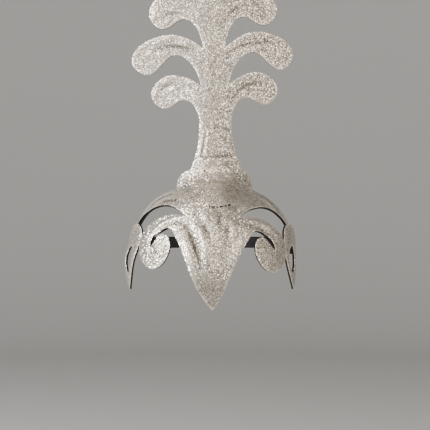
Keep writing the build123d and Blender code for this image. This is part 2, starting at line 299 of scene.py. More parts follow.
def arm_curve(rows, side):
    """Smooth curve in the front view through the rows of a table."""
    return curve([arm_point(row, side) for row in rows])


def window_curve(side):
    """Edge of a window, drawn in where the band outside it is broader."""
    across, down = band_spread[side]
    points = []
    for row in window_edge:
        x, z = arm_point(row, side)
        along = (row["across"] - spread_start) / (spread_end - spread_start)
        share = sin(pi * min(max(along, 0.0), 1.0))
        points.append((x - sides[side] * across * share, z - down * share))
    return curve(points)


def tail_path(side, window_start):
    """Outline on the flat pattern from the middle of the back, round the tail and up to the window."""
    sign = sides[side]
    back_reach = crown_reach(back_tilt)[0]
    foot_height = (tail_end - ear_line) / sin(back_tilt)
    back_foot = (back_tilt * tilt_run, sign * run_to(back_reach, height=foot_height))
    corner = (tail_front + tail_radius, tail_end + tail_radius)
    turns = np.linspace(0, pi / 2, tail_steps + 1)
    bend = [(corner[0] - tail_radius * sin(a), corner[1] - tail_radius * cos(a)) for a in turns]
    path = straight((back_tilt * tilt_run, 0), back_foot)
    path += straight(path[-1], beside_pattern(bend[0], sign))[1:]
    path += [beside_pattern(p, sign) for p in bend[1:]]
    path += [beside_pattern(p, sign) for p in straight(bend[-1], (tail_front, tail_neck))[1:]]
    return path + curve([path[-1], beside_pattern(tail_turn, sign), on_pattern(window_start)])[1:-1]


def peak_path(side, start):
    """Edge of the peak in the front view, from the arm's underside to just beside the tip."""
    sign = sides[side]
    tip = (sign * peak_tip_radius, window_corner - peak_fall + peak_tip_radius)
    points = [start]
    for row in peak_edge:
        x = start[0] + (tip[0] - start[0]) * row["down"] + sign * row[side] * peak_fall
        points.append((x, start[1] + (tip[1] - start[1]) * row["down"]))
    rounded = (0.6 * tip[0], tip[1] - 0.8 * peak_tip_radius)  # on the tip's arc
    return curve(points + [tip]) + [rounded]


def crown_half(side):
    """Outline of half the crown on the flat pattern, from the middle of the back to the tip of the peak."""
    window = window_curve(side)
    under = arm_curve(arm_underside, side)
    front = window + arm_curve(scroll_edge, side) + under[:-1] + peak_path(side, under[-1])
    return tail_path(side, window[0]) + [on_pattern(p) for p in front]


# Soft folds of the crown in the front view. Rise is how far a fold stands out, and width is half its breadth.
crown_folds = [
    {"path": [(-35, -40), (-29, -52), (-23, -66), (-18, -80)], "rise": 1.8, "width": 3.4},
    {"path": [(-29, -35), (-21, -46), (-16, -58), (-12, -70), (-10, -84)], "rise": -2.8, "width": 2.8},
    {"path": [(-21, -36), (-12, -49), (-7, -61), (-5, -74)], "rise": 2.0, "width": 3.6},
    {"path": [(-12, -33), (-5, -44), (-1, -56)], "rise": -1.2, "width": 2.6},
    {"path": [(14, -38), (15, -48), (13, -58)], "rise": -1.0, "width": 2.4},
    {"path": [(20, -36), (20, -48), (17, -60)], "rise": 0.9, "width": 2.6},
    {"path": [(38, -42), (29, -52), (21, -64), (15, -78)], "rise": 1.3, "width": 4.0},
    {"path": [(-20, -33), (-34, -34), (-48, -40), (-58, -49), (-64, -62)], "rise": 1.5, "width": 1.7},
    {"path": [(-24, -37), (-37, -38), (-49, -44), (-57, -54)], "rise": -1.3, "width": 1.4},
    {"path": [(-28, -42), (-39, -42), (-49, -48), (-55, -57)], "rise": 1.0, "width": 1.4},
    {"path": [(28, -36), (42, -38), (54, -44), (63, -55), (66, -66)], "rise": 1.3, "width": 1.9},
    {"path": [(32, -42), (43, -43), (53, -50), (59, -59)], "rise": -1.1, "width": 1.5},
    {"path": [(-8, -25), (-7, -34), (-8, -42)], "rise": 1.0, "width": 3.0},
    {"path": [(6, -25), (8, -34), (6, -44)], "rise": -1.0, "width": 2.6},
    {"path": [(-34, -20), (-24, -26), (-16, -36)], "rise": 0.9, "width": 3.0},
    {"path": [(38, -20), (27, -26), (20, -34)], "rise": 0.8, "width": 3.0},
]
# Fine streaks along the bands outside the windows, and broad, barely raised patches there and beside the
# foot. Both carry painted light and shade: a painted highlight where they stand out and painted shade where
# they sink.
band_streaks = [
    {"path": [(-68, -31), (-58, -17.5), (-47, -11), (-34, -7)], "rise": 0.6, "width": 0.9},
    {"path": [(-66, -30), (-58, -20), (-48, -13.5), (-35, -10)], "rise": -0.6, "width": 0.8},
    {"path": [(-62, -28), (-56, -21.5), (-48, -16), (-36, -12.5)], "rise": 0.6, "width": 0.9},
    {"path": [(-52, -20), (-43, -17), (-32, -17)], "rise": -0.5, "width": 1.0},
    {"path": [(66, -30), (56, -17.5), (42, -10)], "rise": -0.5, "width": 0.9},
    {"path": [(64, -30), (55, -20.5), (43, -13)], "rise": 0.5, "width": 1.0},
    {"path": [(-44, -12), (-32, -14), (-22, -20), (-14, -30)], "rise": 0.25, "width": 5.5},
    {"path": [(-76, -42), (-66, -27), (-56, -17), (-44, -11), (-28, -8)], "rise": 0.3, "width": 5.0},
    {"path": [(8, -22), (18, -27), (30, -37)], "rise": -0.12, "width": 6.0},
]
folded_tilt = radians(85)  # the folds lie in front of this tilt

# The tip of the peak curls inwards below a height, and painted shade darkens its face there, where it turns
# under.
peak_curl = 0.32
peak_curl_height = -89.0
peak_curl_softness = 3.5
peak_painted_shade = 0.24

# Painted light and shade: how much brighter the face is painted for each millimetre that a fold or a streak
# stands out, which puts a painted highlight on ridges and painted shade in hollows.
fold_painted_shading = 0.25
streak_painted_shading = 1.0

far_away = 1e9  # more than any distance on the sheet


def fold_rise(x, z, folds):
    """How far the folds raise the sheet at places in the front view."""
    total = np.zeros_like(x)
    for fold in folds:
        path = np.array(curve(fold["path"], step=2.0))
        nearest = np.full_like(x, far_away)
        along = np.zeros_like(x)
        for i in range(len(path) - 1):
            a, b = path[i], path[i + 1]
            d = b - a
            t = np.clip(((x - a[0]) * d[0] + (z - a[1]) * d[1]) / (d @ d), 0, 1)
            gap = np.hypot(x - a[0] - t * d[0], z - a[1] - t * d[1])
            closer = gap < nearest
            nearest = np.where(closer, gap, nearest)
            along = np.where(closer, (i + t) / (len(path) - 1), along)
        fade = np.sin(pi * np.clip(along, 0, 1))
        total += fold["rise"] * fade * np.exp(-((nearest / fold["width"]) ** 2))
    return total


def soft_rest(gap):
    """A gap that fades to nothing gently instead of turning negative."""
    wide = 8  # wider gaps need no fading
    return np.where(gap > wide, gap, np.log1p(np.exp(np.minimum(gap, wide))))


def crown_surface(flat):
    """Places of flat pattern points in millimetres, and the painted light and shade of the folds, the streaks
    and the curled tip.
    """
    tilt, run = flat[:, 0] / tilt_run, flat[:, 1]
    reach = crown_reach(tilt)
    x, h = arch_place(reach, run)
    z = ear_line + h * np.sin(tilt)
    folded = tilt < folded_tilt
    rise = fold_rise(x, z, crown_folds) * folded
    streaks = fold_rise(x, z, band_streaks) * folded
    h = h + rise + streaks
    below = (peak_curl_height - z) / peak_curl_softness
    curled = peak_curl * peak_curl_softness * soft_rest(below)
    # Painted light and shade: a painted highlight on raised folds and streaks, painted shade in their hollows
    # and under the curled tip.
    painted_shading = fold_painted_shading * rise + streak_painted_shading * streaks - peak_painted_shade / (1 + np.exp(-below))
    return np.column_stack([x, curled - h * np.cos(tilt), ear_line + h * np.sin(tilt)]), painted_shading


def inside(points, loops):
    """Which flat points lie inside the first loop and outside the others."""
    held = np.zeros(len(points), bool)
    for loop in loops:
        ring = np.array(loop)
        for a, b in zip(ring, np.roll(ring, -1, axis=0)):
            crossed = (a[1] > points[:, 1]) != (b[1] > points[:, 1])
            if crossed.any():
                at = a[0] + (points[:, 1] - a[1]) * (b[0] - a[0]) / (b[1] - a[1])
                held ^= crossed & (points[:, 0] < at)
    return held


rounding = 0.3  # radius of the face's edge
roll_depth = 0.25  # how far the face sinks towards its edge
roll_width = 1.1
# Painted highlight along the cut edge of the face, where the rolled edge would catch the light. It fades over
# edge_width.
edge_width = 1.5
edge_painted_highlight = 0.38
row_share = 0.87  # rows of points lie this share of their spacing apart, which makes even triangles
edge_share = 0.6  # no point inside is nearer to the edge than this share of the spacing
same_place = 1e-5  # points nearer than this are one
back_limit = -0.2  # a cut edge looks no further backwards than this
glitter_slot = 0
core_slot = 1


def edge_gap(points, ring):
    """Distance from flat points to the nearest point of the cut edge."""
    gap = np.full(len(points), far_away)
    for p in ring:
        gap = np.minimum(gap, np.hypot(points[:, 0] - p[0], points[:, 1] - p[1]))
    return gap


def fill_flat(loops, spacing):
    """Points and triangles that fill the first loop and leave the others open, and the points' edge gaps."""
    ring = np.array([p for loop in loops for p in loop])
    low, high = ring.min(0), ring.max(0)
    rows = []
    for j, v in enumerate(np.arange(low[1], high[1], spacing * row_share)):
        u = np.arange(low[0], high[0], spacing) + (spacing / 2 if j % 2 else 0)
        rows.append(np.column_stack([u, np.full_like(u, v)]))
    grid = np.vstack(rows)
    grid = grid[inside(grid, loops)]
    grid = grid[edge_gap(grid, ring) > spacing * edge_share]
    flat = np.vstack([ring, grid])
    edges, start = [], 0
    for loop in loops:
        edges += [(start + i, start + (i + 1) % len(loop)) for i in range(len(loop))]
        start += len(loop)
    cut = delaunay_2d_cdt([Vector(p) for p in flat], edges, [], 0, same_place)
    flat = np.array([tuple(v) for v in cut[0]])
    triangles = np.array([f for f in cut[2] if len(f) == 3])
    triangles = triangles[inside(flat[triangles].mean(axis=1), loops)]
    return flat, triangles, edge_gap(flat, ring)


def face_outwards(bm, facing):
    """Turn the sheet's faces so that most of them look the given way."""
    total = Vector()
    for face in bm.faces:
        face.normal_update()
        total += face.normal * face.calc_area()
    if total.dot(Vector(facing)) < 0:
        bmesh.ops.reverse_faces(bm, faces=bm.faces[:])
    bm.normal_update()


def cut_sheet(name, loops, surface, facing, spacing=1.25, thickness=sheet, roll=roll_depth, trim=None):
    """A sheet cut to flat loops, bent onto a surface, thickened inwards and rounded at its face's edge.

    Trim gives the material of the cut edge by its place across and its height.
    """
    flat, triangles, gap = fill_flat(loops, spacing)
    places, painted_shading = surface(flat)
    places = places * mm
    drop = roll * mm * np.exp(-gap / roll_width)
    bm = bmesh.new()
    painted_shading_layer = bm.verts.layers.float.new("painted_shading")
    verts = {i: bm.verts.new(places[i]) for i in np.unique(triangles)}
    for corners in triangles:
        bm.faces.new([verts[i] for i in corners])
    for i, vert in verts.items():
        # Painted light and shade of each point: a painted highlight along the cut edge, plus the painted
        # light and shade that the surface gives.
        vert[painted_shading_layer] = edge_painted_highlight * exp(-gap[i] / edge_width) + painted_shading[i]
    face_outwards(bm, facing)
    front = bm.faces[:]
    rolled = {vert: vert.normal * drop[i] for i, vert in verts.items()}
    bmesh.ops.solidify(bm, geom=front, thickness=thickness * mm)
    for vert, fall in rolled.items():
        vert.co -= fall
    bm.normal_update()
    front = set(front)
    for face in bm.faces:
        face.smooth = True
        face.material_index = glitter_slot if face in front else core_slot
    rim = [e for e in bm.edges if len(e.link_faces) == 2 and sum(f in front for f in e.link_faces) == 1]
    made = bmesh.ops.bevel(
        bm, geom=rim, offset=rounding * mm, offset_type="OFFSET", segments=2, profile=0.5, affect="EDGES",
        material=-1, clamp_overlap=True,
    )
    rounded = set(made["faces"])
    for face in rounded:
        face.smooth = True
        face.material_index = glitter_slot
    if trim is not None:
        for face in bm.faces:
            cut_side = face not in front and face.normal.dot(Vector(facing)) > back_limit
            if face in rounded or cut_side:
                middle = face.calc_center_median() / mm
                face.material_index = trim(middle.x, middle.z, face.material_index)
    mesh = bpy.data.meshes.new(name)
    bm.to_mesh(mesh)
    bm.free()
    piece = bpy.data.objects.new(name, mesh)
    bpy.context.scene.collection.objects.link(piece)
    return piece


# Glitter face: silver flakes laid at random in clear glue, some tipped to the light and some away from it.
# The edges and the tops of the folds carry a painted highlight, and the hollows of the folds and the peak's
# tip carry painted shade.
flake_size = 0.78 * mm
flake_tip = 0.75
dull_flake = (0.16, 0.14, 0.115, 1)
bright_flake = (0.96, 0.86, 0.735, 1)


def glitter_group():
    """Fine glitter as a mask of bright and dull flakes and the flakes' own tipped normals."""
    group = bpy.data.node_groups.new("glitter_flakes", "ShaderNodeTree")
    group.interface.new_socket("Flake size", in_out="INPUT", socket_type="NodeSocketFloat")
    group.interface.new_socket("Tip", in_out="INPUT", socket_type="NodeSocketFloat")
    group.interface.new_socket("Shine", in_out="OUTPUT", socket_type="NodeSocketFloat")
    group.interface.new_socket("Normal", in_out="OUTPUT", socket_type="NodeSocketVector")
    nodes, link = group.nodes, group.links.new
    inputs, outputs = nodes.new("NodeGroupInput"), nodes.new("NodeGroupOutput")
    place = nodes.new("ShaderNodeTexCoord")

    # Flakes, each with a random colour that gives its shine and the way it is tipped.
    density = nodes.new("ShaderNodeMath")
    density.operation = "DIVIDE"
    density.inputs[0].default_value = 1.0
    link(inputs.outputs["Flake size"], density.inputs[1])
    cells = nodes.new("ShaderNodeTexVoronoi")
    link(place.outputs["Object"], cells.inputs["Vector"])
    link(density.outputs[0], cells.inputs["Scale"])

    # Shine of a flake, with a tenth of it in clumps, and the sheet's painted light and shade added.
    clumps = nodes.new("ShaderNodeTexNoise")
    clumps.inputs["Scale"].default_value = 420.0
    clumps.inputs["Detail"].default_value = 2.0
    link(place.outputs["Object"], clumps.inputs["Vector"])
    soft = nodes.new("ShaderNodeMath")
    soft.operation = "MULTIPLY"
    soft.inputs[1].default_value = 0.1
    link(clumps.outputs["Fac"], soft.inputs[0])
    split = nodes.new("ShaderNodeSeparateColor")
    link(cells.outputs["Color"], split.inputs["Color"])
    shine = nodes.new("ShaderNodeMath")
    shine.operation = "MULTIPLY_ADD"
    shine.inputs[1].default_value = 0.9
    link(split.outputs["Red"], shine.inputs[0])
    link(soft.outputs[0], shine.inputs[2])
    painted_shading = nodes.new("ShaderNodeAttribute")
    painted_shading.attribute_name = "painted_shading"
    flake_shine_with_painted_shading = nodes.new("ShaderNodeMath")
    flake_shine_with_painted_shading.operation = "ADD"
    link(painted_shading.outputs["Fac"], flake_shine_with_painted_shading.inputs[0])
    link(shine.outputs[0], flake_shine_with_painted_shading.inputs[1])
    link(flake_shine_with_painted_shading.outputs[0], outputs.inputs["Shine"])

    # Normal of a flake: the slightly uneven sheet's own, tipped at random.
    centred = nodes.new("ShaderNodeVectorMath")
    centred.operation = "SUBTRACT"
    centred.inputs[1].default_value = (0.5, 0.5, 0.5)
    link(cells.outputs["Color"], centred.inputs[0])
    lean = nodes.new("ShaderNodeVectorMath")
    lean.operation = "SCALE"
    link(centred.outputs[0], lean.inputs[0])
    link(inputs.outputs["Tip"], lean.inputs["Scale"])
    swell = nodes.new("ShaderNodeTexNoise")
    swell.inputs["Scale"].default_value = 70.0
    swell.inputs["Detail"].default_value = 2.5
    link(place.outputs["Object"], swell.inputs["Vector"])
    uneven = nodes.new("ShaderNodeBump")
    uneven.inputs["Strength"].default_value = 0.4
    uneven.inputs["Distance"].default_value = 0.0022
    link(swell.outputs["Fac"], uneven.inputs["Height"])
    tipped = nodes.new("ShaderNodeVectorMath")
    tipped.operation = "ADD"
    link(uneven.outputs["Normal"], tipped.inputs[0])
    link(lean.outputs[0], tipped.inputs[1])
    unit = nodes.new("ShaderNodeVectorMath")
    unit.operation = "NORMALIZE"
    link(tipped.outputs[0], unit.inputs[0])
    link(unit.outputs[0], outputs.inputs["Normal"])
    return group


glitter = bpy.data.materials.new("silver_glitter")
glitter.use_nodes = True
nodes, link = glitter.node_tree.nodes, glitter.node_tree.links.new
silver = nodes["Principled BSDF"]
silver.inputs["Metallic"].default_value = 0.75
silver.inputs["Roughness"].default_value = 0.27
flakes = nodes.new("ShaderNodeGroup")
flakes.node_tree = glitter_group()
flakes.inputs["Flake size"].default_value = flake_size
flakes.inputs["Tip"].default_value = flake_tip
tone = nodes.new("ShaderNodeValToRGB")
tone.color_ramp.elements[0].position = 0.15
tone.color_ramp.elements[0].color = dull_flake
tone.color_ramp.elements[1].position = 0.85
tone.color_ramp.elements[1].color = bright_flake
link(flakes.outputs["Shine"], tone.inputs["Fac"])
link(tone.outputs["Color"], silver.inputs["Base Color"])
link(flakes.outputs["Normal"], silver.inputs["Normal"])


def plain_finish(name, colour, roughness):
    """A finish of one colour, and its shader for what else it needs."""
    finish = bpy.data.materials.new(name)
    finish.use_nodes = True
    shader = finish.node_tree.nodes["Principled BSDF"]
    shader.inputs["Base Color"].default_value = colour
    shader.inputs["Roughness"].default_value = roughness
    return finish, shader


# Black core: the foam itself, which shows on the cut edges and on the back.
black_core, core = plain_finish("black_foam", (0.012, 0.012, 0.013, 1), 0.85)
core.inputs["Specular IOR Level"].default_value = 0.25


def dress(piece, node):
    """The glitter face and black core of a sheet, which stands for its solid."""
    piece.data.materials.append(glitter)
    piece.data.materials.append(black_core)
    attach(piece, "root")
    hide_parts(node)


crown_outline = crown_half("right") + crown_half("left")[:0:-1]
crown = cut_sheet("crown", [crown_outline], crown_surface, (0, -0.5, 1))
dress(crown, "crown_plate")

# Crest foot: a short saddle of the same sheet. Its thin toe is glued down on the crown, its round shoulders
# stand on each side, and it turns up in front of the crest, which is glued behind it.
clearance = 0.3
crest_front = -35.3
foot_front = crest_front - clearance - sheet
foot_radius = 57.0
foot_bend = 24.0
bend_top = 22.0
foot_rise = 20.0
crest_offset = 3.3
foot_offset = 2.1

# Outline in the front view. The seam and the neck are measured from the crest's middle, and the shoulders and
# the toe from the foot's.
seam_half_width = 21.0
seam_height = 25.5
seam_slope = 0.055
neck_foot = (24.6, 14.4)
neck_swing = 1.3
shoulder_middle = (33.8, 8.2)
shoulder_end = (37.6, -0.5)
toe_side = (31.5, -12.5)
toe_corner = (19.0, -19.5)
toe_front = -23.3

# The toe stands a small step above the crown in the middle and melts into it towards its sides.
toe_sheet = 2.2
toe_step = 0.18
toe_sink = 0.6
toe_softness = 0.6
soft_lift = 0.69  # how far a soft rest keeps off where the gap is nothing
melt_start = 6.0
melt_width = 20.0
melt_top = 3.0
melt_depth = 14.0

# Tilt and slope are in degrees, lift is off the crown, and bow is a share of the foot's radius.
foot_rows = [
    {"tilt": 36, "lift": 0.3, "bow": 1.40},
    {"tilt": 41, "lift": 0.6, "bow": 1.38},
    {"tilt": 50, "lift": 1.9, "bow": 1.34},
    {"tilt": 58, "lift": 3.6, "bow": 1.22},
]
bend_slopes = [{"slope": 40, "bow": 1.08}, {"slope": 65, "bow": 1.02}, {"slope": 90, "bow": 1.00}]


def crown_middle(tilt):
    """Place on the crown's middle line, seen from the side and measured from the ear line."""
    reach = float(crown_reach(tilt)[0])
    return np.array([-reach * cos(tilt), reach * sin(tilt)])


def foot_line():
    """Middle of the foot from the toe up: its place, slope and bow at each row."""
    nearby = 0.02  # radians
    rows = []
    for row in foot_rows:
        turn = radians(row["tilt"])
        a, b = crown_middle(turn - nearby), crown_middle(turn + nearby)
        along = (b - a) / np.linalg.norm(b - a)
        out = np.array([-along[1], along[0]])
        place = (a + b) / 2 + out * row["lift"]
        rows.append((place[0], place[1] + ear_line, atan2(along[1], along[0]), row["bow"] * foot_radius))
    for row in bend_slopes:
        turn = radians(row["slope"])
        y, z = foot_front - foot_bend * (1 - sin(turn)), bend_top - foot_bend * cos(turn)
        rows.append((y, z, turn, row["bow"] * foot_radius))
    rows.append((foot_front, bend_top + foot_rise, pi / 2, foot_radius))
    return np.array(rows)


foot_middle = foot_line()
foot_marks = marks_along(foot_middle)
foot_slopes = spline_slopes(foot_marks, foot_middle)


def foot_point(along, x):
    """Place of the foot's face at a run up its middle line and a place across it."""
    y, z, slope, bow = between(foot_marks, foot_middle, foot_slopes, along).T
    drop = bow - np.sqrt(np.maximum(bow**2 - x**2, 1))
    return y + drop * np.sin(slope), z - drop * np.cos(slope)


def foot_pattern(point):
    """Run up the foot's middle line and place across it of a point in the front view."""
    x, z = point
    low, high = foot_marks[0], foot_marks[-1]
    for _ in range(halvings):
        along = (low + high) / 2
        if foot_point(np.array([along]), x - foot_offset)[1][0] < z:
            low = along
        else:
            high = along
    return (x, along)


# Soft wrinkles across the foot in the front view.
foot_wrinkles = [
    {"path": [(-18, 12), (0, 10.5), (20, 12)], "rise": -0.35, "width": 1.3},
    {"path": [(-24, 4), (-4, 2.0), (20, 3)], "rise": -0.45, "width": 1.6},
    {"path": [(-26, 0), (-6, -2.0), (16, -1)], "rise": 0.45, "width": 1.8},
]


def eased(share):
    """A share from 0 to 1 that starts and ends gently."""
    share = np.clip(share, 0, 1)
    return share * share * (3 - 2 * share)


def foot_surface(flat):
    """Places of the foot's flat points in millimetres, and the painted light and shade of its wrinkles."""
    x = flat[:, 0]
    y, z = foot_point(flat[:, 1], x - foot_offset)
    tilt = np.arctan2(z - ear_line, -y)
    height = np.hypot(y, z - ear_line)
    beside = eased((np.abs(x - foot_offset) - melt_start) / melt_width)
    seat = arch_height(crown_reach(tilt), x) + toe_step - toe_sink * beside
    melt = eased((melt_top - z) / melt_depth) * beside
    height = height + (seat - height) * melt
    height = seat + toe_softness * (soft_rest((height - seat) / toe_softness) - soft_lift * melt)
    rise = fold_rise(x, z, foot_wrinkles) * (z < bend_top)
    height += rise
    # The wrinkles' rise also sets their painted highlight and painted shade.
    return np.column_stack([x, -height * np.cos(tilt), ear_line + height * np.sin(tilt)]), fold_painted_shading * rise


# The core shows as broken lines along the top and the toe. Left and right are where a line starts and ends,
# waves are the two beats of its gaps, and gaps is the level under which it is broken.
seam_line = {"left": -9.0, "right": 20.0, "waves": (2.1, 4.7), "gaps": -0.8}
seam_depth = 1.2
toe_line = {"left": -6.0, "right": 17.0, "waves": (1.7, 3.9), "gaps": -0.7}
toe_line_height = toe_front + 3.0


def broken_line(x, line):
    """Whether a broken line shows at a place across."""
    slow, fast = line["waves"]
    return line["left"] < x < line["right"] and sin(slow * x) + sin(fast * x) > line["gaps"]


def foot_trim(x, z, material):
    """The toe is pared thin and glittered over, and broken lines of the core show along it and the top."""
    if z > seam_height + seam_slope * (x - crest_offset) - seam_depth:
        return core_slot if broken_line(x, seam_line) else glitter_slot
    if z < melt_top:
        return core_slot if z < toe_line_height and broken_line(x, toe_line) else glitter_slot
    return material


def foot_half(side):
    """Outline of one half of the foot on its flat pattern, from the middle of the top to the toe."""
    sign = sides[side]
    neck = (crest_offset + sign * neck_foot[0] + (neck_swing if sign > 0 else 0), neck_foot[1])
    rounds = (shoulder_middle, shoulder_end, toe_side, toe_corner)
    shoulder = [neck] + [(foot_offset + sign * across, height) for across, height in rounds]
    toe = (foot_offset, toe_front)
    corner_height = seam_height + sign * seam_slope * seam_half_width
    path = straight((crest_offset, seam_height), (crest_offset + sign * seam_half_width, corner_height))
    path += straight(path[-1], neck)[1:]
    mirrored = [(2 * foot_offset - p[0], p[1]) for p in reversed(shoulder[1:])]
    whole = curve(shoulder + [toe] + mirrored)
    path += [p for p in whole[1:] if sign * (p[0] - foot_offset) > 0]
    return [foot_pattern(p) for p in path]


foot_outline = foot_half("right") + foot_half("left")[:0:-1]
foot = cut_sheet(
    "crest_saddle", [foot_outline], foot_surface, (0, -1, 1), spacing=1.0, thickness=toe_sheet, trim=foot_trim
)
dress(foot, "crest_foot")

# Crest: a tall stem with three tiers of fronds that curl out and down, and a bud on top, cut from one sheet.
# Soft creases are pressed along the fronds. The tail of the stem is glued behind the foot.
neck_half_width = 15.9
neck_height = 60.0
frond_reach = 80.0
tier_pitch = 36.6
frond_lift = 3.2
frond_sway = 2.0
sway_power = 6
bud_height = 26.0
crest_lean = 0.016
tail_half_width = 14.0
channel_half_width = 20.0
snip = 0.8
crest_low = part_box("crest")[0].z / mm

# Each tier from the lowest up. Out is a share of the longest frond's reach from the crest's axis, and up is a
# share of the pitch from the foot of the tier.
frond_tiers = [
    {
        "hollow": {"out": 0.380, "up": 0.640},
        "belly": {"out": 0.622, "up": 0.445},
        "tip": {"out": 0.783, "up": 0.820},
        "crown": {"out": 0.522, "up": 1.322},
        "notch": {"out": 0.172, "up": 1.000},
    },
    {
        "hollow": {"out": 0.477, "up": 0.861},
        "belly": {"out": 0.820, "up": 0.363},
        "tip": {"out": 1.000, "up": 0.740},
        "crown": {"out": 0.535, "up": 1.418},
        "notch": {"out": 0.132, "up": 1.000},
    },
    {
        "hollow": {"out": 0.367, "up": 0.820},
        "belly": {"out": 0.620, "up": 0.585},
        "tip": {"out": 0.793, "up": 1.005},
        "crown": {"out": 0.445, "up": 1.640},
        "notch": {"out": 0.093, "up": 1.370},
    },
]
# The way the outline runs at each of a frond's points, and where it leaves the notch and the seam.
frond_turns = {"hollow": (1, 0), "belly": (1, 0), "tip": (0, 1), "crown": (-1, 0), "notch": (-0.78, -0.62)}
notch_turn = (0.2, 1)
seam_turn = (-0.35, 1)
bud_turn = (-1, 0.9)

# Up is a share of three tiers from the neck, back is in sheets, and bow is a share of the foot's radius.
crest_rows = [
    {"up": -0.55, "back": 0.0, "bow": 1.0},
    {"up": 0.05, "back": 0.0, "bow": 1.1},
    {"up": 0.45, "back": 0.5, "bow": 2.2},
    {"up": 1.42, "back": 3.0, "bow": 3.0},
]


def turned_curve(points, directions, step=1.0):
    """Smooth curve through points that leaves each one in the given direction."""
    slack = 1.15  # the curve is about this much longer than its chords
    path = [points[0]]
    for a, b, da, db in zip(points, points[1:], directions, directions[1:]):
        reach = hypot(b[0] - a[0], b[1] - a[1])
        slopes = np.array([np.array(d) / hypot(*d) * reach for d in (da, db)])
        count = max(2, round(reach * slack / step))
        along = np.linspace(0, 1, count + 1)[1:]
        path += [tuple(p) for p in between([0, 1], [a, b], slopes, along)]
    return path


def on_crest(out, up, side):
    """Place in the front view, out from the leaning axis of the crest.

    The right fronds are raised and the left ones lowered, and the long ones sway to the left at their ends.
    """
    sign = sides[side]
    axis = crest_offset - crest_lean * (up - seam_height) if up > neck_foot[1] else crest_offset
    lift = sign * frond_lift * out / frond_reach if up > neck_height else 0
    sway = frond_sway * (out / frond_reach) ** sway_power if up > neck_height else 0
    return (axis + sign * out - sway, up + lift + sway / 2)


def crest_half(side):
    """Outline of one half of the crest from the foot of its tail to the top of the bud."""
    sign = sides[side]
    tail = crest_offset + sign * tail_half_width
    seam = on_crest(seam_half_width, seam_height, side)
    neck = on_crest(neck_half_width, neck_height, side)
    path = straight((crest_offset, crest_low), (tail, crest_low))
    path += straight(path[-1], (tail, neck_foot[1]))[1:]
    path += straight(path[-1], seam)[1:]
    path += turned_curve([seam, neck], [(sign * seam_turn[0], seam_turn[1]), (0, 1)])[1:]
    start, direction, base = neck, (0, 1), neck_height
    for tier in frond_tiers:
        points, turns = [start], [direction]
        for key, mark in tier.items():
            points.append(on_crest(mark["out"] * frond_reach, base + mark["up"] * tier_pitch, side))
            turns.append((sign * frond_turns[key][0], frond_turns[key][1]))
        path += turned_curve(points, turns)[1:]
        start = (points[-1][0], points[-1][1] + snip)
        path.append(start)
        direction = (sign * notch_turn[0], notch_turn[1])
        base += tier_pitch
    bud = on_crest(0, base + (frond_tiers[-1]["notch"]["up"] - 1) * tier_pitch + bud_height, side)
    path += turned_curve([start, bud], [direction, (sign * bud_turn[0], bud_turn[1])])[1:]
    return path


crest_marks = [neck_height + len(frond_tiers) * tier_pitch * row["up"] for row in crest_rows]
crest_backs = [(row["back"] * sheet, row["bow"]) for row in crest_rows]
crest_slopes = spline_slopes(crest_marks, crest_backs)
# Painted light and shade of the crest: a painted highlight on the raised side of a crease and painted shade
# in its hollow.
crease_painted_shading = 0.42  # how much brighter the face is for each millimetre that a crease stands out


def crest_surface(flat):
    """Places of the crest's flat points in millimetres, and the painted light and shade of its creases and
    ridges.
    """
    x, z = flat[:, 0], flat[:, 1]
    back, bow = between(crest_marks, crest_backs, crest_slopes, np.clip(z, crest_marks[0], crest_marks[-1])).T
    radius = (foot_radius - sheet - clearance) * np.maximum(bow, 1.0)
    middle = np.minimum(np.abs(x), channel_half_width)
    drop = radius - np.sqrt(radius**2 - middle**2)
    lean = middle / np.sqrt(radius**2 - middle**2)
    y = crest_front + back + drop + lean * (np.abs(x) - middle)
    rise = fold_rise(x, z, crest_folds + frond_creases)
    return np.column_stack([x, y - rise, z]), crease_painted_shading * rise


# Ridges and faint lines of the stem in the front view.
crest_folds = [
    {"path": [(-14.5, 18), (-12.8, 30), (-10.2, 42), (-8.6, 54)], "rise": 1.2, "width": 0.9},
    {"path": [(-6.8, 24), (-5.8, 38), (-4.4, 54)], "rise": 1.1, "width": 0.9},
    {"path": [(-10.5, 22), (-8.7, 38), (-6.6, 54)], "rise": -1.1, "width": 0.9},
    {"path": [(-13, 53.7), (4, 54.2), (20, 53.5)], "rise": -0.7, "width": 0.7},
    {"path": [(24, 24), (20.5, 34), (18.5, 46)], "rise": -0.8, "width": 1.0},
    {"path": [(-16, 25.3), (4, 26.4), (24, 27.6)], "rise": -1.0, "width": 0.6},
]
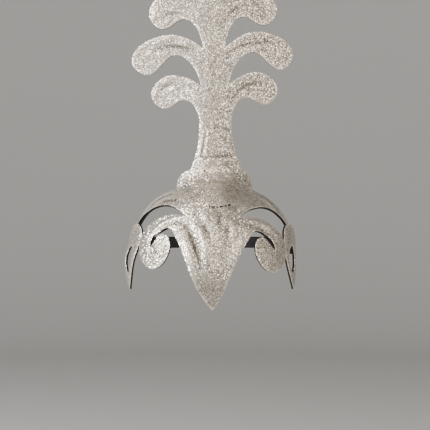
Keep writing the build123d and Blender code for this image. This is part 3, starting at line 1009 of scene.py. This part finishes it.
# Pressed creases of the fronds in the front view.
frond_creases = [
    {"path": [(-60, 129), (-50, 134), (-30, 134), (-14, 127)], "rise": -1.6, "width": 1.2},
    {"path": [(-66, 121), (-64, 127), (-58, 132)], "rise": 0.7, "width": 1.6},
    {"path": [(13, 118), (18, 129), (27, 135), (40, 138.5), (60, 138)], "rise": -1.1, "width": 1.3},
    {"path": [(18, 120), (23, 127), (31, 131), (42, 134)], "rise": 0.7, "width": 1.4},
    {"path": [(40, 143.5), (52, 142), (64, 136)], "rise": -0.7, "width": 1.2},
    {"path": [(18, 76), (23, 87), (30, 94.5), (42, 99), (58, 100)], "rise": -1.2, "width": 1.3},
    {"path": [(26, 83), (32, 89), (38, 92)], "rise": 0.7, "width": 1.6},
    {"path": [(-51, 91), (-46, 95.5), (-38, 97)], "rise": -1.2, "width": 1.3},
    {"path": [(-58, 84), (-56.5, 90), (-52, 95)], "rise": 0.9, "width": 1.5},
    {"path": [(-43, 90), (-38, 94), (-33, 95)], "rise": 0.9, "width": 1.4},
    {"path": [(-28, 94), (-21, 88.5), (-15, 80)], "rise": 0.8, "width": 1.7},
    {"path": [(12, 160), (18, 168), (26, 173), (34, 173)], "rise": -1.1, "width": 1.5},
    {"path": [(-50, 164), (-38, 168), (-24, 164)], "rise": -0.9, "width": 1.4},
    {"path": [(-59, 158), (-58.5, 166), (-55, 174)], "rise": 0.8, "width": 1.7},
]


crest_outline = crest_half("right") + crest_half("left")[-2:0:-1]
crest = cut_sheet("frond_crest", [crest_outline], crest_surface, (0, -1, 0), spacing=1.1)
dress(crest, "crest")

# Side wings: a pointed leaf with a long slot, cut from the same sheet and bowed. Each is glued by its lobed
# top on the outside of the crown's tail, and its tip hangs free.
wing_height = 66.0
wing_depth = 52.0
wing_tip = -105.0
wing_back = 3.0
wing_bow = 80.0
wing_apex = -6.0
wing_rest = 0.6
wing_flare = {"left": 4.5, "right": 0.0}

# Forward is a share of the wing's depth from its back, and up is a share of its height from its tip.
wing_front_edge = [
    {"forward": 0.726, "up": 1.000},
    {"forward": 0.900, "up": 0.962},
    {"forward": 1.000, "up": 0.848},
    {"forward": 1.000, "up": 0.690},
    {"forward": 0.980, "up": 0.550},
    {"forward": 0.920, "up": 0.394},
    {"forward": 0.810, "up": 0.240},
    {"forward": 0.640, "up": 0.106},
    {"forward": 0.365, "up": 0.000},
]
wing_back_edge = [
    {"forward": 0.335, "up": 0.000},
    {"forward": 0.122, "up": 0.242},
    {"forward": 0.000, "up": 0.485},
    {"forward": 0.075, "up": 0.697},
    {"forward": 0.347, "up": 0.905},
    {"forward": 0.702, "up": 1.000},
]
wing_slot = [
    {"forward": 0.690, "up": 0.665},
    {"forward": 0.820, "up": 0.590},
    {"forward": 0.820, "up": 0.430},
    {"forward": 0.640, "up": 0.258},
    {"forward": 0.510, "up": 0.410},
    {"forward": 0.560, "up": 0.580},
]
# Stand is how many sheets the wing stands out, and flare is a share of the wing's flare.
wing_rows = [
    {"up": -0.06, "stand": -1.0, "flare": 0.3},
    {"up": 0.20, "stand": -0.1, "flare": 0.8},
    {"up": 0.50, "stand": 0.0, "flare": 1.0},
    {"up": 0.78, "stand": 0.0, "flare": 0.0},
    {"up": 1.06, "stand": 0.9, "flare": 0.0},
]
wing_marks = [row["up"] for row in wing_rows]
wing_values = [(row["stand"], row["flare"]) for row in wing_rows]
wing_slopes = spline_slopes(wing_marks, wing_values)


def closed_curve(points, step=1.0):
    """Points round the smooth closed curve through the given ones."""
    lead = 3  # points repeated at each end, so that the curve closes smoothly
    around = points[-lead:] + points + points[:lead]
    marks = marks_along(around)
    low, high = marks[lead], marks[lead + len(points)]
    along = np.linspace(low, high, round((high - low) / step) + 1)[:-1]
    return [tuple(p) for p in between(marks, around, spline_slopes(marks, around), along)]


def wing_places(rows):
    """Places in the side view of the rows of a table."""
    return [(wing_back - row["forward"] * wing_depth, wing_tip + row["up"] * wing_height) for row in rows]


def wing_surface(side):
    """Surface of the wing on one side: upright, flared towards its tip and bowed from front to back."""
    sign = sides[side]

    def surface(flat):
        y, z = flat[:, 0], flat[:, 1]
        stand, flare = between(wing_marks, wing_values, wing_slopes, (z - wing_tip) / wing_height).T
        height = np.maximum(z - ear_line, straight_leg)
        across = [arch_place(crown_height, run_to(crown_height, height=h))[0] for h in height]
        out = np.array(across, float) + clearance + wing_rest + sheet * (1 + stand) + wing_flare[side] * flare
        out += np.sqrt(wing_bow**2 - (y - wing_apex) ** 2) - wing_bow
        return np.column_stack([sign * out, y, z]), np.zeros_like(y)

    return surface


wing_front = curve(wing_places(wing_front_edge))
wing_rear = curve(wing_places(wing_back_edge))
slot_loop = closed_curve(wing_places(wing_slot))
wing_loops = [wing_front + wing_rear[:-1], slot_loop]
for side, sign in sides.items():
    wing = cut_sheet(f"wing_{side}", wing_loops, wing_surface(side), (sign, 0, 0), spacing=1.0)
    dress(wing, f"side_wing_{side}")

# Nape strap: a flat band of black elastic, stretched round the back from tail to tail. It is thinner than the
# sheet, and it is glued inside both tails of the crown.
strap_low, strap_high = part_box("nape_strap")
strap_half_width = strap_high.x / mm
strap_depth = strap_high.y / mm
strap_sheet = 1.3
strap_spacing = 1.5
strap_roll = 0.15
strap_leg = 12.0
strap_turn = radians(50)
strap_front = -8.0
strap_side, strap_back, _ = arch_radii(strap_depth, strap_half_width, strap_leg, strap_turn)
strap_run = strap_back * (pi / 2 - strap_turn) + strap_side * strap_turn + strap_leg - strap_front
bottom, top = strap_low.z / mm, strap_high.z / mm


def strap_surface(flat):
    """Places of the strap's flat points, along its run and up. Its face has no painted light or shade."""
    x, y = arch_place(strap_depth, flat[:, 0], strap_half_width, strap_leg, strap_turn)
    return np.column_stack([x, y, flat[:, 1]]), np.zeros_like(x)


corners = [(-strap_run, bottom), (strap_run, bottom), (strap_run, top), (-strap_run, top)]
strap_sides = zip(corners, corners[1:] + corners[:1])
strap_loop = [p for a, b in strap_sides for p in straight(a, b, strap_spacing)[1:]]
strap = cut_sheet(
    "nape_elastic", [strap_loop], strap_surface, (0, 1, 0), strap_spacing, strap_sheet, strap_roll
)
elastic, weave = plain_finish("black_elastic", (0.016, 0.016, 0.018, 1), 0.8)
nodes, link = elastic.node_tree.nodes, elastic.node_tree.links.new
rib_place = nodes.new("ShaderNodeTexCoord")
rib_wave = nodes.new("ShaderNodeTexWave")
rib_wave.bands_direction = "Z"
rib_wave.inputs["Scale"].default_value = 260.0
rib_bump = nodes.new("ShaderNodeBump")
rib_bump.inputs["Distance"].default_value = 0.4 * mm
link(rib_place.outputs["Object"], rib_wave.inputs["Vector"])
link(rib_wave.outputs["Fac"], rib_bump.inputs["Height"])
link(rib_bump.outputs["Normal"], weave.inputs["Normal"])
strap.data.materials.append(elastic)
strap.data.materials.append(elastic)
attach(strap, "root")
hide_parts("nape_strap")

# Floor: a pale floor that sweeps up into a wall all round, like a large bowl, well below the headdress. It is
# one profile spun round, in metres.
floor_height = -0.42
floor_reach = 2.4
sweep_radius = 1.2
wall_height = 3.0
sweep_steps = 12
profile = [(0.0, floor_height), (floor_reach, floor_height)]
for a in np.linspace(0, pi / 2, sweep_steps + 1)[1:]:
    profile.append((floor_reach + sweep_radius * sin(a), floor_height + sweep_radius * (1 - cos(a))))
profile.append((floor_reach + sweep_radius, floor_height + wall_height))
bm = bmesh.new()
line = [bm.verts.new((r, 0, z)) for r, z in profile]
line += [bm.edges.new(pair) for pair in zip(line, line[1:])]
bmesh.ops.spin(bm, geom=line, cent=(0, 0, 0), axis=(0, 0, 1), angle=2 * pi, steps=72, use_merge=True)
bmesh.ops.remove_doubles(bm, verts=bm.verts[:], dist=same_place)
bmesh.ops.recalc_face_normals(bm, faces=bm.faces[:])
if sum(f.normal.z * f.calc_area() for f in bm.faces) < 0:
    bmesh.ops.reverse_faces(bm, faces=bm.faces[:])
for strip in bm.faces:
    strip.smooth = True
floor_mesh = bpy.data.meshes.new("floor")
bm.to_mesh(floor_mesh)
bm.free()
floor = bpy.data.objects.new("floor", floor_mesh)
bpy.context.scene.collection.objects.link(floor)
floor_paint, _ = plain_finish("pale_floor", (0.60, 0.59, 0.575, 1), 0.9)
floor_mesh.materials.append(floor_paint)

# Light: a cool soft panel on the left, a warm one above and a weak warm one on the right, in a dim room. The
# camera doesn't see the panels.
panel = 0.8
cool_white = (0.95, 0.98, 1.0)
warm_white = (1.0, 0.92, 0.82)
world = bpy.data.worlds.new("studio")
world.use_nodes = True
world.node_tree.nodes["Background"].inputs["Color"].default_value = (0.64, 0.64, 0.64, 1)
world.node_tree.nodes["Background"].inputs["Strength"].default_value = 0.2
bpy.context.scene.world = world


def softbox(name, place, aim, power, tint):
    """A square soft light at a place, turned to the point that it is aimed at."""
    light = bpy.data.lights.new(name, "AREA")
    light.shape = "SQUARE"
    light.size = panel
    light.energy = power
    light.color = tint
    lamp = bpy.data.objects.new(name, light)
    lamp.location = place
    lamp.visible_camera = False
    lamp.rotation_euler = (Vector(aim) - Vector(place)).to_track_quat("-Z", "Y").to_euler()
    bpy.context.scene.collection.objects.link(lamp)


softbox("key_light", (-1.7, -1.1, 0.6), (0, 0, 0), 88, cool_white)
softbox("top_light", (-0.5, -1.1, 1.4), (0, 0, 0.1), 28, warm_white)
softbox("fill_light", (1.3, -1.4, 0.4), (0, 0, 0), 14, warm_white)

# Camera: level with the windows' corners and 1.35 m in front of the middle, in metres. The focal length is in
# pixels of the picture, and the lens follows from it.
camera_data = bpy.data.cameras.new("camera")
camera_data.sensor_width = 36.0
picture_width = 430
focal_pixels = 1340
camera_side = 0.0024
camera_distance = 1.35
camera_height = -0.031
camera_data.lens = camera_data.sensor_width * focal_pixels / picture_width
camera = bpy.data.objects.new("camera", camera_data)
camera.location = (camera_side, -camera_distance, camera_height)
camera.rotation_euler = (pi / 2, 0, 0)
bpy.context.scene.collection.objects.link(camera)
bpy.context.scene.camera = camera
